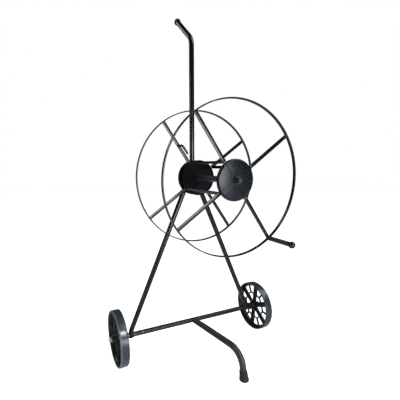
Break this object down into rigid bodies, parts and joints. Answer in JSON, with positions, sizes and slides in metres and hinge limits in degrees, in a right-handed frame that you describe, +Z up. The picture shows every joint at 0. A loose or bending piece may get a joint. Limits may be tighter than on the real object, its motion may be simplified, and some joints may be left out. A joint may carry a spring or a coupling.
{
  "type": "garden hose reel cart",
  "caption": "Hose reel cart: an open flat-bar reel on a spindle, on a bent-tube frame with a mast handle, two moulded wheels and a rubber-tipped front foot; a crank on the front hoop turns it.",
  "frame": {"origin": "on the floor, under the centre of the whole cart's bounding box", "axes": "+Z up; the reel's axis runs along Y with its crank side towards -Y, and the wheels' axis runs along X"},
  "size_m": [0.6062, 0.4528, 1.1181],
  "materials": {
    "black_paint": "satin black powder coat",
    "disc_paint": "satin blue-black powder coat",
    "grip_paint": "satin black sleeve",
    "dark_steel": "dark plated steel",
    "zinc_steel": "zinc plated",
    "pale_cap": "light grey push-on cap",
    "black_rubber": "moulded black rubber",
    "wheel_plastic": "moulded dark grey plastic",
    "bush_plastic": "moulded black plastic"
  },
  "bodies": {
    "frame": {"mast_tube": "black_paint", "handle_end_cap": "black_rubber", "left_leg": "black_paint", "right_leg": "black_paint", "axle_bar": "black_paint", "foot_tube": "black_paint", "foot_tip": "black_rubber", "frame_hub_disc": "disc_paint", "spindle": "dark_steel", "spindle_spacer": "dark_steel", "spindle_washer": "zinc_steel", "spindle_nut": "zinc_steel", "left_axle_pin": "zinc_steel", "left_inner_washer": "zinc_steel", "left_outer_washer": "zinc_steel", "left_axle_cap": "pale_cap", "right_axle_pin": "zinc_steel", "right_inner_washer": "zinc_steel", "right_outer_washer": "zinc_steel", "right_axle_cap": "pale_cap"},
    "reel": {"front_hoop": "black_paint", "rear_hoop": "black_paint", "drum_bar_upper_right": "black_paint", "drum_bar_upper_left": "black_paint", "drum_bar_lower_left": "black_paint", "drum_bar_lower_right": "black_paint", "front_disc": "disc_paint", "rear_disc": "disc_paint", "reel_tube": "dark_steel", "front_bush": "bush_plastic", "rear_bush": "bush_plastic", "hose_hook": "black_paint", "crank_pin": "dark_steel", "crank_knob": "black_rubber"},
    "crank_grip": {"crank_grip": "grip_paint"},
    "left_wheel": {"left_wheel": "wheel_plastic"},
    "right_wheel": {"right_wheel": "wheel_plastic"}
  },
  "joints": [
    {"name": "reel_spin", "type": "hinge", "parent": "frame", "child": "reel", "pos_m": [0, -0.02719, 0.598], "axis": [0, 1, 0], "continuous": true},
    {"name": "crank_grip_spin", "type": "hinge", "parent": "reel", "child": "crank_grip", "pos_m": [0.11758, -0.17219, 0.43007], "axis": [0, 1, 0], "continuous": true},
    {"name": "left_wheel_spin", "type": "hinge", "parent": "frame", "child": "left_wheel", "pos_m": [-0.272, 0.11681, 0.09], "axis": [1, 0, 0], "continuous": true},
    {"name": "right_wheel_spin", "type": "hinge", "parent": "frame", "child": "right_wheel", "pos_m": [0.272, 0.11681, 0.09], "axis": [1, 0, 0], "continuous": true}
  ]
}
